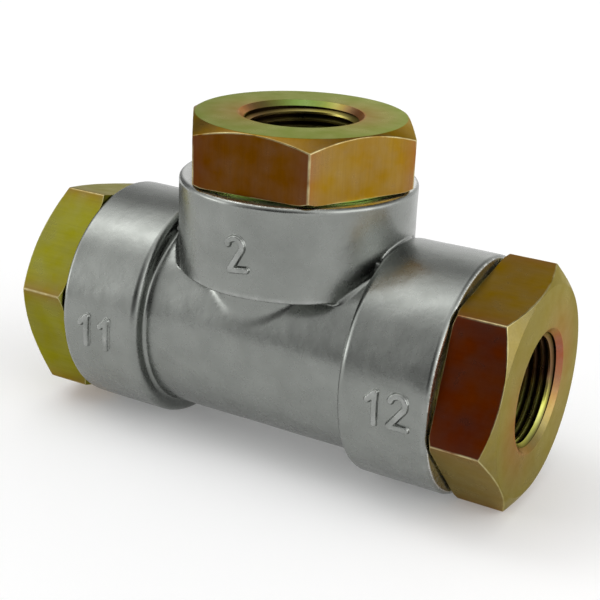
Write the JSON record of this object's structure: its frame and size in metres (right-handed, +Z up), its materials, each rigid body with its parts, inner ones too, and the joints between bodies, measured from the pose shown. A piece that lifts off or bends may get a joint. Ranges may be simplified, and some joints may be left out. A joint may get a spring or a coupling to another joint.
{
  "type": "two-way valve",
  "caption": "Cast tee with screwed-in hexagon ports; a sliding shuttle joins the inlet with the higher pressure to the outlet on the branch.",
  "frame": {"origin": "on the lowest line of the two end collars, straight below the point where the run's and the branch's axes cross", "axes": "+X along the run towards port 12, -X towards port 11, +Z up the branch towards port 2, -Y towards the side with the port numbers"},
  "size_m": [0.1054, 0.0466, 0.0673],
  "materials": {
    "cast_body": "satin",
    "zinc_plated_steel": "satin",
    "black_rubber": "matte",
    "shuttle_plastic": "satin"
  },
  "bodies": {
    "valve_body": {"housing": "cast_body", "adapter_port_11": "zinc_plated_steel", "adapter_port_12": "zinc_plated_steel", "adapter_port_2": "zinc_plated_steel", "o_ring_port_11": "black_rubber", "o_ring_port_12": "black_rubber", "o_ring_port_2": "black_rubber"},
    "shuttle": {"shuttle": "shuttle_plastic", "shuttle_seal_11": "black_rubber", "shuttle_seal_12": "black_rubber"}
  },
  "joints": [
    {"name": "shuttle_slide", "type": "slide", "parent": "valve_body", "child": "shuttle", "axis": [1, 0, 0], "range_m": [-0.003, 0.003]}
  ]
}
